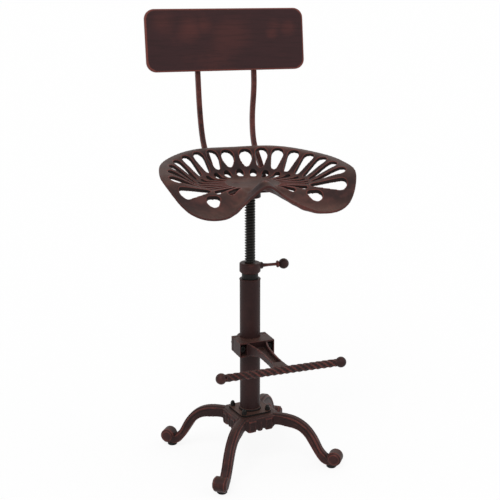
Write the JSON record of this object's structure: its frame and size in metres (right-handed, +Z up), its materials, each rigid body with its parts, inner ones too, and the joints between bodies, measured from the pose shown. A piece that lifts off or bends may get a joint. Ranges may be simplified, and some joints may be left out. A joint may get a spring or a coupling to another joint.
{
  "type": "tractor seat stool",
  "caption": "Adjustable stool with a pierced dished seat, low backrest, screw column with lock lever, clamped footrest and scroll-footed cast base.",
  "frame": {"origin": "on the column's axis at the floor under the foot pads", "axes": "+Z up along the column, -Y the way the sitter faces, +X towards the lock lever"},
  "size_m": [0.4152, 0.4134, 0.9859],
  "materials": {
    "rubbed_iron": "near-black brown with copper-red rubbed edges",
    "pan_iron": "near-black brown with copper-red rubbed edges",
    "rubbed_steel": "near-black brown with copper-red rubbed edges",
    "board_finish": "stained dark brown with faint level grain, red where rubbed",
    "black_steel": "oiled black",
    "black_rubber": "matte",
    "nylon": "natural"
  },
  "bodies": {
    "base": {"base_casting": "rubbed_iron", "foot_pad_1": "black_rubber", "foot_pad_2": "black_rubber", "foot_pad_3": "black_rubber", "foot_pad_4": "black_rubber", "foot_pad_screws": "black_steel", "column_flange": "rubbed_iron", "column_tube": "rubbed_steel", "lift_nut": "black_steel", "flange_bolts": "black_steel", "flange_cap_nuts": "black_steel"},
    "footrest_carriage": {"footrest": "rubbed_iron", "clamp_back": "rubbed_iron", "clamp_bolts": "black_steel", "clamp_nuts": "black_steel"},
    "lift": {"guide_bush": "nylon"},
    "seat": {"lift_screw": "black_steel", "stop_washer": "black_steel", "stop_bolt": "black_steel", "seat_mount": "rubbed_iron", "cross_pin": "black_steel", "seat_pan": "pan_iron", "seat_bolts": "black_steel", "seat_nuts": "black_steel", "back_bar_left": "rubbed_steel", "back_bar_right": "rubbed_steel", "bar_bolts": "black_steel", "back_panel": "board_finish", "panel_screws": "black_steel"},
    "lock": {"lock_ring": "rubbed_iron", "lock_lever": "rubbed_steel", "lever_knob": "rubbed_steel"}
  },
  "joints": [
    {"name": "seat_height", "type": "slide", "parent": "base", "child": "lift", "axis": [0, 0, 1], "range_m": [-0.1321, 0.1081]},
    {"name": "seat_turn", "type": "hinge", "parent": "lift", "child": "seat", "pos_m": [0, 0, 0.5], "axis": [0, 0, 1], "range_deg": [-7920, 6480]},
    {"name": "lock_turn", "type": "hinge", "parent": "base", "child": "lock", "pos_m": [0, 0, 0.443], "axis": [0, 0, 1], "range_deg": [0, 90]},
    {"name": "footrest_height", "type": "slide", "parent": "base", "child": "footrest_carriage", "axis": [0, 0, 1], "range_m": [-0.115, 0.125]}
  ],
  "couplings": [
    {"joint": "seat_height", "follows": "seat_turn", "m_per_rad": 0.00095493}
  ]
}
